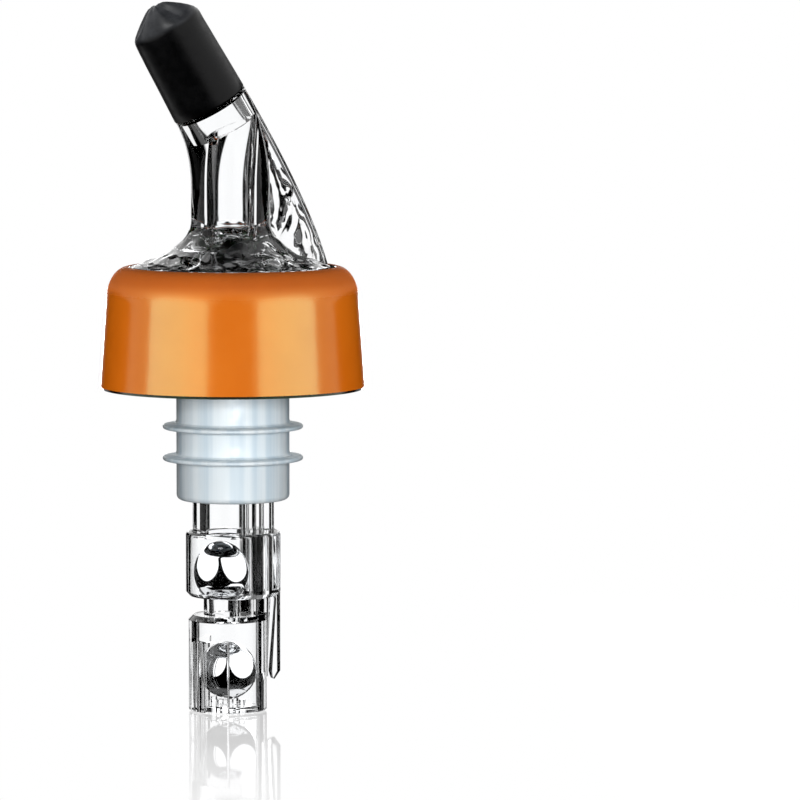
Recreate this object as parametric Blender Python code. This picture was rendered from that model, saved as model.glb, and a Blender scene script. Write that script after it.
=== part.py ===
"""Measured bottle pourer: a clear spout and ball valve housing on a finned cork.

Metres, +Z up.  The origin is on the cork's axis in the plane where the bottle's lip
bears.  The pouring nozzle leans towards -X and the air breather runs up the +X side.
"""
import math

import bmesh
import bpy
from mathutils import Vector

MM = 0.001
GAP = 0.3                    # clearance between neighbouring pieces, in mm as below

# Axes of the turned pieces, as X offsets from the cork's axis
THROAT_X = -0.3
FLOW_X = -1.5
CAGE_X = -1.0
BREATHER_X = 5.75
BREATHER_R = 1.25
INLET_X = 6.9

# Steel balls, 3/8 inch
BALL_R = 9.525 / 2
SHUTOFF_BALL_Z = -19.9
UPPER_BALL_Z = -39.0
LOWER_BALL_Z = -55.5

# Collar
COLLAR_BOTTOM_Z = -9.0
COLLAR_TOP_Z = 11.1
COLLAR_BOTTOM_R = 21.75
COLLAR_SHOULDER_R = 20.75
COLLAR_SHOULDER_Z = 5.5
COLLAR_MOUTH_R = 16.9
COLLAR_WALL = 2.0
COLLAR_RIM = 0.3             # bevel of its lower edge

# Spout
NOZZLE_TILT = math.radians(30)
BEND_Z = 31.6                # where the nozzle's axis meets the throat's
NOZZLE_LENGTH = 19.5         # from the bend to the tip
NOZZLE_R = 5.2
NOZZLE_BORE_R = 2.9
NOZZLE_POCKET_R = 3.9        # wider part of the bore between the throat and the cap
NOZZLE_POCKET = (2.0, 6.0)   # where it starts and ends along the nozzle
SLEEVE_R = 6.35              # the sleeve round the nozzle's root, under the cap
SLEEVE_REACH = 8.0           # how far below the bend the throat starts to curve
THROAT_R = 6.5
SPOUT_BASE_Z = 2.4
FLANGE_TOP_Z = 8.7
FLANGE_R = 18.2
SKIRT_FOOT_R = 16.3
SKIRT_TOP_Z = 19.0
SKIRT_FLARE_OUT = 1.9        # powers that shape the flare's curve
SKIRT_FLARE_DOWN = 0.75
BORE_R = 2.85
LOWER_BORE_R = 3.3
BORE_STEP_Z = 17.8
SEAT_R = 5.0
SEAT_LAND = 1.6              # straight bore above the seat
SEAT_SHIFT = 4.0             # height over which the bore moves across to the throat
AIR_PIPE_R = 1.3
AIR_BORE_R = 0.6
AIR_PIPE_FOOT = (15.5, 0, 9.5)
AIR_PIPE_KNEE = (12.6, 0, 20.5)
AIR_PIPE_OFFSET = 5.2        # of its top from the nozzle's axis
WEB_THICKNESS = 1.6
HOLLOW_ROOF = ((7.6, 12.5), (10.0, 10.5), (14.6, 8.3))   # radius, z of the ring under the skirt
GALLERY_END_X = 16.1         # the slot under the base that joins the two air passages
GALLERY_WIDTH = 2.8
GALLERY_HEIGHT = 2.4

# Dust cap, measured along the nozzle from its mouth
CAP_MOUTH = 7.0              # distance of the mouth from the bend
CAP_SIDE = 14.8
CAP_MOUTH_R = 6.4
CAP_TOP_R = 5.95
CAP_WALL = 0.85
CAP_CONE = ((0, 4.0), (1.5, 3.7), (4.2, 2.0), (5.5, 0.9))   # radius, height over the side

# Cork
CORK_R = 9.3
CORK_FIN_R = 11.55
CORK_BOTTOM_Z = -27.3
CORK_FIN_Z = (-15.2, -20.4)
CORK_FIN_THICKNESS = 0.8
CORK_HEAD_R = 17.5
CORK_HEAD_THICKNESS = 2.1

# Flow tube
BALL_RUN_R = 5.0
BALL_RUN_OUTER_R = 5.6
BALL_RUN_SEAT_Z = -22.0
TUBE_STEP_Z = -25.6
TUBE_R = 5.25
TUBE_BORE_R = 3.1
TUBE_END_Z = -33.4          # its inner edge stops the upper ball

# Ball chamber
CHAMBER_R = 7.83
CHAMBER_TOP_Z = -32.5
CHAMBER_BOTTOM_Z = -43.2
CHAMBER_FLOOR = 0.5
CHAMBER_PORT_R = 3.0
INLET_R = 1.15
INLET_BORE_R = 0.45
INLET_TIP_Z = -56.9
INLET_BEVEL = 1.2            # height of the tapered tip, which leans in by half its radius

# Ball cage
CAGE_R = 6.45
CAGE_BORE_R = 5.15
CAGE_SHOULDER_Z = -46.3
CAGE_CEILING_Z = -47.3
CAGE_BOTTOM_Z = -62.1
CAGE_CHAMFER = 0.8
NECK_R = 3.95
NECK_BORE_R = 1.9            # clears the underside of the upper ball
COLUMN_X = 2.7               # the column fills the cage's outline beyond this X
SLOT_TOP_Z = -50.3
SLOT_LOW_X, SLOT_HIGH_X = -4.9, -1.6   # from the cage's axis; cut through front and back
FLOOR_THICKNESS = 1.0
FLOOR_DRAIN_R = 1.4
FLOOR_POST_R = 0.55
FLOOR_POST_CIRCLE = 2.6
FLOOR_POST_TOP_Z = -60.15
FLOOR_POSTS = 4

ROUND = 40                   # sides of the large turned pieces
SMALL_ROUND = 20             # sides of the pipes and bores
NOZZLE_DIRECTION = Vector((-math.sin(NOZZLE_TILT), 0, math.cos(NOZZLE_TILT)))
BEND = Vector((THROAT_X, 0, BEND_Z))


def material(name, colour, roughness, metallic=0.0, transmission=0.0):
    """A Principled material with one colour."""
    made = bpy.data.materials.new(name)
    made.use_nodes = True
    shader = made.node_tree.nodes["Principled BSDF"]
    shader.inputs["Base Color"].default_value = (*colour, 1.0)
    shader.inputs["Roughness"].default_value = roughness
    shader.inputs["Metallic"].default_value = metallic
    shader.inputs["Transmission Weight"].default_value = transmission
    return made


def new_object(name, shape, slot, location=(0, 0, 0)):
    """Turns a bmesh in millimetres into a smooth-shaded object placed in metres."""
    bmesh.ops.scale(shape, vec=(MM, MM, MM), verts=shape.verts)
    bmesh.ops.recalc_face_normals(shape, faces=shape.faces)
    mesh = bpy.data.meshes.new(name)
    shape.to_mesh(mesh)
    shape.free()
    mesh.shade_smooth()
    mesh.set_sharp_from_angle(angle=math.radians(30))
    made = bpy.data.objects.new(name, mesh)
    made.location = Vector(location) * MM
    if slot is not None:
        mesh.materials.append(slot)
    bpy.context.collection.objects.link(made)
    return made


def turned(profile, sides=ROUND):
    """A solid turned about Z from (radius, z) points; closes on the axis at both ends."""
    shape = bmesh.new()
    loop = [shape.verts.new((radius, 0, z)) for radius, z in profile]
    edges = [shape.edges.new(pair) for pair in zip(loop, loop[1:])]
    if profile[0][0] > 0:
        edges.append(shape.edges.new((loop[-1], loop[0])))
    bmesh.ops.spin(shape, geom=loop + edges, cent=(0, 0, 0), axis=(0, 0, 1),
                   angle=math.tau, steps=sides, use_merge=True)
    bmesh.ops.remove_doubles(shape, verts=shape.verts, dist=0.0001)
    bmesh.ops.dissolve_limit(shape, angle_limit=math.radians(0.1), verts=shape.verts,
                             edges=shape.edges)
    return shape


def swept(points, radii, sides=SMALL_ROUND):
    """A round solid along points in the XZ plane, with a radius at each point."""
    shape = bmesh.new()
    points = [Vector(point) for point in points]
    side = Vector((0, 1, 0))
    rings = []
    for index, (point, radius) in enumerate(zip(points, radii)):
        before = points[max(index - 1, 0)]
        after = points[min(index + 1, len(points) - 1)]
        up = (after - before).normalized().cross(side)
        ring = []
        for step in range(sides):
            angle = math.tau * (step + 0.5) / sides
            ring.append(shape.verts.new(point + radius * (math.cos(angle) * up
                                                          + math.sin(angle) * side)))
        rings.append(ring)
    for lower, upper in zip(rings, rings[1:]):
        for step in range(sides):
            following = (step + 1) % sides
            shape.faces.new((lower[step], lower[following], upper[following], upper[step]))
    shape.faces.new(rings[0])
    shape.faces.new(rings[-1])
    return shape


def prism(outline, thickness):
    """A plate from an outline of (x, z) points, centred on the XZ plane."""
    shape = bmesh.new()
    face = shape.faces.new([shape.verts.new((x, -thickness / 2, z)) for x, z in outline])
    moved = bmesh.ops.extrude_face_region(shape, geom=[face])["geom"]
    verts = [item for item in moved if isinstance(item, bmesh.types.BMVert)]
    bmesh.ops.translate(shape, verts=verts, vec=(0, thickness, 0))
    return shape


def block(low, high):
    """A box between two corners."""
    shape = bmesh.new()
    bmesh.ops.create_cube(shape, size=1.0)
    low, high = Vector(low), Vector(high)
    bmesh.ops.scale(shape, vec=high - low, verts=shape.verts)
    bmesh.ops.translate(shape, vec=(low + high) / 2, verts=shape.verts)
    return shape


def rod(x, radius, low_z, high_z, sides=SMALL_ROUND):
    """An upright cylinder at X between two heights."""
    return swept([(x, 0, low_z), (x, 0, high_z)], (radius, radius), sides)


def combine(target, name, shape, operation):
    """Adds an EXACT Boolean of the shape to the target."""
    tool = new_object(f"{target.name}_{name}_tool", shape, None)
    tool.hide_render = True
    tool.display_type = "WIRE"
    cut = target.modifiers.new(name, "BOOLEAN")
    cut.operation = operation
    cut.solver = "EXACT"
    cut.object = tool


def along_nozzle(distance):
    """The point on the nozzle's axis at a distance from the bend."""
    return BEND + distance * NOZZLE_DIRECTION


def curve_points(start, control, end, steps=10):
    """Points along a quadratic curve."""
    start, control, end = Vector(start), Vector(control), Vector(end)
    return [start.lerp(control, step / steps).lerp(control.lerp(end, step / steps), step / steps)
            for step in range(steps + 1)]


def make_collar(slot):
    """The moulded skirt: a thin bell, open below for the bottle's neck."""
    corner = []
    drop = COLLAR_TOP_Z - COLLAR_SHOULDER_Z
    inset = COLLAR_SHOULDER_R - COLLAR_MOUTH_R
    for step in range(9):
        angle = math.pi / 2 * step / 8
        corner.append((COLLAR_MOUTH_R + inset * math.sin(angle),
                       COLLAR_SHOULDER_Z + drop * math.cos(angle)))
    outside = corner + [(COLLAR_BOTTOM_R, COLLAR_BOTTOM_Z + COLLAR_RIM),
                        (COLLAR_BOTTOM_R - COLLAR_RIM, COLLAR_BOTTOM_Z)]
    ceiling_z = FLANGE_TOP_Z + GAP
    inside = [(COLLAR_BOTTOM_R - COLLAR_WALL, COLLAR_BOTTOM_Z),
              (COLLAR_SHOULDER_R - COLLAR_WALL, COLLAR_SHOULDER_Z),
              (COLLAR_SHOULDER_R - COLLAR_WALL, ceiling_z),
              (COLLAR_MOUTH_R, ceiling_z)]
    return new_object("collar", turned(outside + inside), slot)


def make_spout(slot):
    """Base, flared skirt, throat, leaning nozzle and breather, moulded as one."""
    flare = []
    for step in range(1, 9):
        t = step / 8
        radius = THROAT_R + (SKIRT_FOOT_R - THROAT_R) * t ** SKIRT_FLARE_OUT
        flare.append((radius, SKIRT_TOP_Z + (COLLAR_TOP_Z - SKIRT_TOP_Z) * t ** SKIRT_FLARE_DOWN))
    core_r = THROAT_R - 1.5
    profile = ([(0, SKIRT_TOP_Z + 3), (core_r, SKIRT_TOP_Z + 3)] + flare
               + [(SKIRT_FOOT_R, FLANGE_TOP_Z), (FLANGE_R, FLANGE_TOP_Z),
                  (FLANGE_R, SPOUT_BASE_Z), (0, SPOUT_BASE_Z)])
    body = turned(profile)
    bmesh.ops.translate(body, vec=(THROAT_X, 0, 0), verts=body.verts)
    spout = new_object("spout", body, slot)

    neck = [(THROAT_X, 0, SKIRT_TOP_Z - 3)]
    neck += curve_points((THROAT_X, 0, BEND_Z - SLEEVE_REACH), BEND, along_nozzle(CAP_MOUTH - GAP))
    sleeve_radii = []
    for index in range(len(neck)):
        t = index / (len(neck) - 1)
        sleeve_radii.append(THROAT_R + (SLEEVE_R - THROAT_R) * t)
    combine(spout, "sleeve", swept(neck, sleeve_radii, ROUND), "UNION")
    nozzle = [along_nozzle(0), along_nozzle(NOZZLE_LENGTH)]
    combine(spout, "nozzle", swept(nozzle, (NOZZLE_R, NOZZLE_R - 0.1), ROUND - 8), "UNION")

    across = Vector((math.cos(NOZZLE_TILT), 0, math.sin(NOZZLE_TILT)))
    pipe_top = along_nozzle(CAP_MOUTH - GAP) + across * AIR_PIPE_OFFSET
    pipe = curve_points(AIR_PIPE_FOOT, AIR_PIPE_KNEE, pipe_top)
    combine(spout, "air_pipe", swept(pipe, [AIR_PIPE_R] * len(pipe)), "UNION")
    web_foot = Vector(AIR_PIPE_FOOT)
    web = [(THROAT_X, SKIRT_TOP_Z - 6), (web_foot.x - 1, SKIRT_TOP_Z - 8)]
    web += [(point.x, point.z) for point in pipe[1:-1]]
    web += [(THROAT_X, BEND_Z)]
    combine(spout, "web", prism(web, WEB_THICKNESS), "UNION")

    seat_top_z = SPOUT_BASE_Z + SEAT_R - LOWER_BORE_R
    seat = [(FLOW_X, 0, SPOUT_BASE_Z - 1), (FLOW_X, 0, seat_top_z),
            (FLOW_X, 0, seat_top_z + SEAT_LAND), (THROAT_X, 0, seat_top_z + SEAT_LAND + SEAT_SHIFT),
            (THROAT_X, 0, BORE_STEP_Z)]
    seat_radii = [SEAT_R + 1] + [LOWER_BORE_R] * 4
    combine(spout, "lower_bore", swept(seat, seat_radii), "DIFFERENCE")
    throat = rod(THROAT_X, BORE_R, BORE_STEP_Z - 1, BEND_Z + NOZZLE_POCKET_R)
    combine(spout, "throat_bore", throat, "DIFFERENCE")
    pocket_start, pocket_end = NOZZLE_POCKET
    shrink = NOZZLE_POCKET_R - NOZZLE_BORE_R
    nozzle_bore = [along_nozzle(distance) for distance in
                   (pocket_start, pocket_end, pocket_end + shrink, NOZZLE_LENGTH + 1)]
    nozzle_radii = (NOZZLE_POCKET_R, NOZZLE_POCKET_R, NOZZLE_BORE_R, NOZZLE_BORE_R)
    combine(spout, "nozzle_bore", swept(nozzle_bore, nozzle_radii), "DIFFERENCE")
    inner_r, outer_r = HOLLOW_ROOF[0][0], HOLLOW_ROOF[-1][0]
    hollow = turned([(inner_r, SPOUT_BASE_Z - 1)] + list(HOLLOW_ROOF) + [(outer_r, SPOUT_BASE_Z - 1)])
    bmesh.ops.translate(hollow, vec=(THROAT_X, 0, 0), verts=hollow.verts)
    combine(spout, "hollow", hollow, "DIFFERENCE")

    air = [Vector((web_foot.x, 0, SPOUT_BASE_Z + 1))] + pipe[1:-1]
    back = across * (NOZZLE_R - AIR_PIPE_R)
    air += [along_nozzle(CAP_MOUTH + 1) + back, along_nozzle(NOZZLE_LENGTH + 1) + back]
    combine(spout, "air_bore", swept(air, [AIR_BORE_R] * len(air), 12), "DIFFERENCE")
    half = GALLERY_WIDTH / 2
    gallery = block((BREATHER_X - half, -half, SPOUT_BASE_Z - 1),
                    (GALLERY_END_X, half, SPOUT_BASE_Z + GALLERY_HEIGHT))
    combine(spout, "air_gallery", gallery, "DIFFERENCE")
    return spout


def make_dust_cap(slot):
    """Soft push-on cap over the nozzle's tip; its origin lies on the nozzle's axis."""
    depth = NOZZLE_LENGTH - CAP_MOUTH + GAP
    profile = [(radius, CAP_SIDE + height) for radius, height in CAP_CONE]
    profile += [(CAP_TOP_R, CAP_SIDE), (CAP_MOUTH_R, 0.2), (CAP_MOUTH_R - 0.2, 0),
                (CAP_MOUTH_R - CAP_WALL, 0), (CAP_TOP_R - 0.5, depth), (0, depth)]
    cap = new_object("dust_cap", turned(profile, ROUND - 8), slot, along_nozzle(CAP_MOUTH))
    cap.rotation_euler = (0, -NOZZLE_TILT, 0)
    return cap


def make_cork(slot):
    """Finned stopper with a wide head, bored for the flow tube and the breather."""
    profile = [(0, CORK_HEAD_THICKNESS), (CORK_HEAD_R, CORK_HEAD_THICKNESS), (CORK_HEAD_R, 0),
               (CORK_R, 0)]
    for fin_z in CORK_FIN_Z:
        half = CORK_FIN_THICKNESS / 2
        profile += [(CORK_R, fin_z + half + 0.3), (CORK_FIN_R - 0.2, fin_z + half),
                    (CORK_FIN_R, fin_z), (CORK_FIN_R - 0.2, fin_z - half), (CORK_R, fin_z - half)]
    profile += [(CORK_R, CORK_BOTTOM_Z + 0.9), (CORK_R - 0.25, CORK_BOTTOM_Z + 0.25),
                (CORK_R - 0.9, CORK_BOTTOM_Z), (0, CORK_BOTTOM_Z)]
    cork = new_object("cork", turned(profile), slot)
    low, high = CORK_BOTTOM_Z - 1, CORK_HEAD_THICKNESS + 1
    flow = rod(FLOW_X, BALL_RUN_OUTER_R + GAP, low, high, ROUND - 12)
    combine(cork, "flow_hole", flow, "DIFFERENCE")
    air = rod(BREATHER_X, BREATHER_R + GAP, low, high)
    combine(cork, "breather_hole", air, "DIFFERENCE")
    return cork


def make_flow_tube(slot):
    """Wide ball run inside the cork, stepping down to the tube below it."""
    run_foot_z = BALL_RUN_SEAT_Z - (BALL_RUN_R - TUBE_BORE_R)
    profile = [(BALL_RUN_OUTER_R, CORK_HEAD_THICKNESS), (BALL_RUN_OUTER_R, TUBE_STEP_Z),
               (TUBE_R, TUBE_STEP_Z - 0.35), (TUBE_R, TUBE_END_Z), (TUBE_BORE_R, TUBE_END_Z),
               (TUBE_BORE_R, run_foot_z), (BALL_RUN_R, BALL_RUN_SEAT_Z),
               (BALL_RUN_R, CORK_HEAD_THICKNESS)]
    return new_object("flow_tube", turned(profile, ROUND - 12), slot, (FLOW_X, 0, 0))


def make_breather_tube(slot):
    """Slim air tube beside the flow tube, from the spout's gallery to the chamber."""
    top_z = SPOUT_BASE_Z + 0.6
    foot_z = CHAMBER_BOTTOM_Z + 1.6
    profile = [(BREATHER_R, top_z), (BREATHER_R, foot_z), (AIR_BORE_R, foot_z), (AIR_BORE_R, top_z)]
    return new_object("breather_tube", turned(profile, SMALL_ROUND), slot, (BREATHER_X, 0, 0))


def make_ball_chamber(slot):
    """Cup for the upper ball, with the air inlet pipe moulded on its +X side."""
    low, high = CHAMBER_BOTTOM_Z, CHAMBER_TOP_Z
    profile = [(0, high), (CHAMBER_R - 0.5, high), (CHAMBER_R, high - 0.5), (CHAMBER_R, low + 0.3),
               (CHAMBER_R - 0.3, low), (0, low)]
    chamber = new_object("ball_chamber", turned(profile), slot)
    tip = (INLET_X - INLET_R / 2, 0, INLET_TIP_Z)
    inlet = swept([(INLET_X, 0, low + 1), (INLET_X, 0, INLET_TIP_Z + INLET_BEVEL), tip],
                  (INLET_R, INLET_R, INLET_R * 0.6))
    combine(chamber, "inlet_pipe", inlet, "UNION")
    room = rod(FLOW_X, TUBE_R + 0.2, low + CHAMBER_FLOOR, high + 1, ROUND - 12)
    combine(chamber, "ball_room", room, "DIFFERENCE")
    combine(chamber, "port", rod(FLOW_X, CHAMBER_PORT_R, low - 1, low + 2), "DIFFERENCE")
    socket = rod(BREATHER_X, BREATHER_R + 0.25, low + 1.3, high + 1)
    combine(chamber, "breather_socket", socket, "DIFFERENCE")
    bore = swept([(INLET_X - 0.3, 0, low + 1.4), (INLET_X - 0.1, 0, low - 1),
                  (INLET_X - 0.6, 0, INLET_TIP_Z - 1)],
                 (INLET_BORE_R, INLET_BORE_R, INLET_BORE_R - 0.1), 12)
    combine(chamber, "inlet_bore", bore, "DIFFERENCE")
    return chamber


def make_ball_cage(slot):
    """Neck, side column and slotted cage for the lower ball, moulded as one."""
    top_z = CHAMBER_BOTTOM_Z - GAP
    profile = [(0, top_z), (CAGE_R, top_z), (CAGE_R, CAGE_BOTTOM_Z + 0.3),
               (CAGE_R - 0.3, CAGE_BOTTOM_Z), (0, CAGE_BOTTOM_Z)]
    body = turned(profile)
    bmesh.ops.translate(body, vec=(CAGE_X, 0, 0), verts=body.verts)
    cage = new_object("ball_cage", body, slot)

    shoulder = [(CAGE_R + 2, top_z + 1), (CAGE_R + 2, CAGE_SHOULDER_Z - CAGE_CHAMFER),
                (CAGE_R, CAGE_SHOULDER_Z - CAGE_CHAMFER), (CAGE_R - CAGE_CHAMFER, CAGE_SHOULDER_Z),
                (NECK_R, CAGE_SHOULDER_Z), (NECK_R, top_z + 1)]
    window = turned(shoulder)
    bmesh.ops.translate(window, vec=(CAGE_X, 0, 0), verts=window.verts)
    keep = bmesh.ops.bisect_plane(window, geom=window.verts[:] + window.edges[:] + window.faces[:],
                                  plane_co=(COLUMN_X, 0, 0), plane_no=(1, 0, 0), clear_outer=True)
    rim = [item for item in keep["geom_cut"] if isinstance(item, bmesh.types.BMEdge)]
    bmesh.ops.contextual_create(window, geom=rim)
    combine(cage, "window", window, "DIFFERENCE")

    room = rod(CAGE_X, CAGE_BORE_R, CAGE_BOTTOM_Z - 1, CAGE_CEILING_Z, ROUND - 12)
    combine(cage, "ball_room", room, "DIFFERENCE")
    neck_bore = rod(FLOW_X, NECK_BORE_R, CAGE_CEILING_Z - 1, top_z + 1)
    combine(cage, "neck_bore", neck_bore, "DIFFERENCE")
    slot_cut = block((CAGE_X + SLOT_LOW_X, -CAGE_R - 1, CAGE_BOTTOM_Z - 1),
                     (CAGE_X + SLOT_HIGH_X, CAGE_R + 1, SLOT_TOP_Z))
    combine(cage, "slots", slot_cut, "DIFFERENCE")
    return cage


def make_cage_floor(slot):
    """Retaining disc pressed into the cage, with posts that carry the lower ball."""
    low = CAGE_BOTTOM_Z
    disc = rod(CAGE_X, CAGE_BORE_R - GAP, low, low + FLOOR_THICKNESS, ROUND - 12)
    floor = new_object("cage_floor", disc, slot)
    combine(floor, "drain", rod(CAGE_X, FLOOR_DRAIN_R, low - 1, low + 2), "DIFFERENCE")
    for index in range(FLOOR_POSTS):
        angle = math.tau * (index + 0.5) / FLOOR_POSTS
        post = rod(0, FLOOR_POST_R, low + 0.5, FLOOR_POST_TOP_Z, 12)
        out = FLOOR_POST_CIRCLE * Vector((math.cos(angle), math.sin(angle), 0))
        bmesh.ops.translate(post, vec=Vector((CAGE_X, 0, 0)) + out, verts=post.verts)
        combine(floor, f"post_{index + 1}", post, "UNION")
    return floor


def make_ball(name, slot, x, z):
    """One steel ball, with its origin at its centre."""
    shape = bmesh.new()
    bmesh.ops.create_uvsphere(shape, u_segments=24, v_segments=14, radius=BALL_R)
    return new_object(name, shape, slot, (x, 0, z))


def main():
    for thing in list(bpy.data.objects):
        bpy.data.objects.remove(thing)
    clear = material("clear_plastic", (0.93, 0.95, 0.96), 0.05, transmission=0.9)
    make_collar(material("orange_plastic", (0.85, 0.33, 0.03), 0.25))
    make_spout(clear)
    make_dust_cap(material("black_rubber", (0.02, 0.02, 0.022), 0.5))
    make_cork(material("milky_plastic", (0.80, 0.85, 0.90), 0.35))
    make_flow_tube(clear)
    make_breather_tube(clear)
    make_ball_chamber(clear)
    make_ball_cage(clear)
    make_cage_floor(clear)
    steel = material("steel", (0.75, 0.76, 0.78), 0.08, metallic=1.0)
    make_ball("shutoff_ball", steel, FLOW_X, SHUTOFF_BALL_Z)
    make_ball("upper_ball", steel, FLOW_X, UPPER_BALL_Z)
    make_ball("lower_ball", steel, CAGE_X, LOWER_BALL_Z)


main()
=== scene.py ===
"""Looks of the measured bottle pourer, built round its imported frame.

The frame is in metres; shapes here are worked out in millimetres and scaled at the end.
"""

import math

import bmesh
import bpy
from mathutils import Matrix, Vector, noise


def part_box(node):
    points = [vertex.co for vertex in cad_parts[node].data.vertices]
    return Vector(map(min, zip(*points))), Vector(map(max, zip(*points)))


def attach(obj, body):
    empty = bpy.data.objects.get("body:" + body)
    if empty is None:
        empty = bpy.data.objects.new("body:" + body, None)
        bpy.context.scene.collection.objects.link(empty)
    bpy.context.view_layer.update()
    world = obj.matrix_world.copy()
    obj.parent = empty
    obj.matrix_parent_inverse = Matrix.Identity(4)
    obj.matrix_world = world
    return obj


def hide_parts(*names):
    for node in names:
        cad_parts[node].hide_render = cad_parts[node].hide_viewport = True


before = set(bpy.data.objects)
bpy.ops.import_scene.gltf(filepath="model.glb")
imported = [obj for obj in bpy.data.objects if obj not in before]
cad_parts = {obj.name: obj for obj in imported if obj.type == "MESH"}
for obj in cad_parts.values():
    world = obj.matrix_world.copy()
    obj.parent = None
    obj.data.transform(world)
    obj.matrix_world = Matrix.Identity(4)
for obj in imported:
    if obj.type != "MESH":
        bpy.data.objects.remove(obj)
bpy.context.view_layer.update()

MM = 0.001
GAP = 0.3                    # clearance between neighbouring pieces, in mm as below


def millimetres(node):
    """A CAD node's lowest and highest corners in millimetres."""
    low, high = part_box(node)
    return low / MM, high / MM


# ---------------------------------------------------------------- sizes read from the frame
collar_low, collar_high = millimetres("collar")
spout_low, spout_high = millimetres("spout")
cork_low, cork_high = millimetres("cork")
tube_low, tube_high = millimetres("flow_tube")
air_low, air_high = millimetres("breather_tube")
chamber_low, chamber_high = millimetres("ball_chamber")
cage_low, cage_high = millimetres("ball_cage")
floor_low, floor_high = millimetres("cage_floor")
BALLS = {name: [sum(pair) / 2 for pair in zip(*millimetres(name))]
         for name in ("shutoff_ball", "upper_ball", "lower_ball")}
ball_low, ball_high = millimetres("upper_ball")
BALL_R = (ball_high.z - ball_low.z) / 2

COLLAR_R = (collar_high.y - collar_low.y) / 2
COLLAR_BOTTOM_Z, COLLAR_TOP_Z = collar_low.z, collar_high.z
SPOUT_BASE_Z = spout_low.z
CORK_BOTTOM_Z, CORK_HEAD_Z = cork_low.z, cork_high.z
CORK_HEAD_R = (cork_high.y - cork_low.y) / 2
FLOW_X = (tube_low.x + tube_high.x) / 2
BREATHER_X = (air_low.x + air_high.x) / 2
AIR_TUBE_R = (air_high.y - air_low.y) / 2
CHAMBER_R = (chamber_high.y - chamber_low.y) / 2
CHAMBER_TOP_Z, INLET_TIP_Z = chamber_high.z, chamber_low.z
CAGE_X = (cage_low.x + cage_high.x) / 2
CAGE_R = (cage_high.y - cage_low.y) / 2
CAGE_TOP_Z, CAGE_BOTTOM_Z = cage_high.z, cage_low.z
CHAMBER_BOTTOM_Z = CAGE_TOP_Z + GAP

# ---------------------------------------------------------------- sizes repeated from the CAD
THROAT_X = -0.3
THROAT_R = 6.5
NOZZLE_TILT = math.radians(30)
BEND_Z = 31.6                # where the nozzle's axis meets the throat's
NOZZLE_LENGTH = 19.5         # from the bend to the tip
NOZZLE_R = 5.2
NOZZLE_BORE_R = 2.9
NOZZLE_POCKET_R = 3.9        # wider part of the bore between the throat and the cap
NOZZLE_POCKET = (2.0, 6.0)   # where it starts and ends along the nozzle
SLEEVE_R = 6.35              # the sleeve round the nozzle's root, under the cap
SLEEVE_REACH = 8.0           # how far below the bend the throat starts to curve
FLANGE_R, FLANGE_TOP_Z = 18.2, 8.7
SKIRT_FOOT_R, SKIRT_TOP_Z = 16.3, 19.0
SKIRT_FLARE_OUT, SKIRT_FLARE_DOWN = 1.9, 0.75    # powers that shape the flare's curve
HOLLOW_ROOF = ((7.6, 12.5), (10.0, 10.5), (14.6, 8.3))   # radius, z of the ring under the skirt
BORE_R = 2.85
LOWER_BORE_R = 3.3
BORE_STEP_Z = 17.8
SEAT_R = 5.0
SEAT_LAND = 1.6              # straight bore above the seat
SEAT_SHIFT = 4.0             # height over which the bore moves across to the throat
AIR_PIPE_R = 1.3
AIR_BORE_R = 0.6
AIR_PIPE_FOOT = (15.5, 0, 9.5)
AIR_PIPE_KNEE = (12.6, 0, 20.5)
AIR_PIPE_OFFSET = 5.2        # of its top from the nozzle's axis
GALLERY_HALF = 1.4           # half the width of the slot that joins the two air passages
GALLERY_END_X = 16.1
GALLERY_HEIGHT = 2.4

CAP_MOUTH = 7.0              # distance of the cap's mouth from the bend
CAP_SIDE = 14.8
CAP_MOUTH_R, CAP_TOP_R = 6.4, 5.95

COLLAR_SHOULDER_R, COLLAR_SHOULDER_Z = 20.75, 5.5
COLLAR_MOUTH_R = 16.9
COLLAR_WALL = 2.0

CORK_R = 9.3
CORK_FIN_R = 11.55
CORK_FIN_Z = (-15.2, -20.4)
CORK_FIN_HALF = 0.4

BALL_RUN_R, BALL_RUN_OUTER_R = 5.0, 5.6
BALL_RUN_SEAT_Z = -22.0
TUBE_STEP_Z = -25.6
TUBE_R, TUBE_BORE_R = 5.25, 3.1

CHAMBER_FLOOR = 0.5
CHAMBER_PORT_R = 3.0
CHAMBER_SOCKET_R = 5.45      # for the flow tube
AIR_SOCKET_R = 1.5           # for the breather tube
INLET_X, INLET_R = 6.9, 1.15
INLET_BORE_R = 0.45
INLET_BEVEL = 1.2            # height of the tapered tip, which leans in

CAGE_BORE_R = 5.15
CAGE_SHOULDER_Z, CAGE_CEILING_Z = -46.3, -47.3
CAGE_CHAMFER = 0.8
NECK_R, NECK_BORE_R = 3.95, 1.9
COLUMN_X = 2.7               # the column fills the cage's outline beyond this X
SLOT_TOP_Z = -50.3
SLOT_LOW_X, SLOT_HIGH_X = -4.9, -1.6    # from the cage's axis; cut through front and back
FLOOR_R = 4.85
FLOOR_THICKNESS = 1.0
FLOOR_DRAIN_R = 1.4
FLOOR_POSTS = 4
FLOOR_POST_R, FLOOR_POST_CIRCLE = 0.55, 2.6

NOZZLE = Vector((-math.sin(NOZZLE_TILT), 0, math.cos(NOZZLE_TILT)))
ACROSS = Vector((math.cos(NOZZLE_TILT), 0, math.sin(NOZZLE_TILT)))
BEND = Vector((THROAT_X, 0, BEND_Z))

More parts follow.
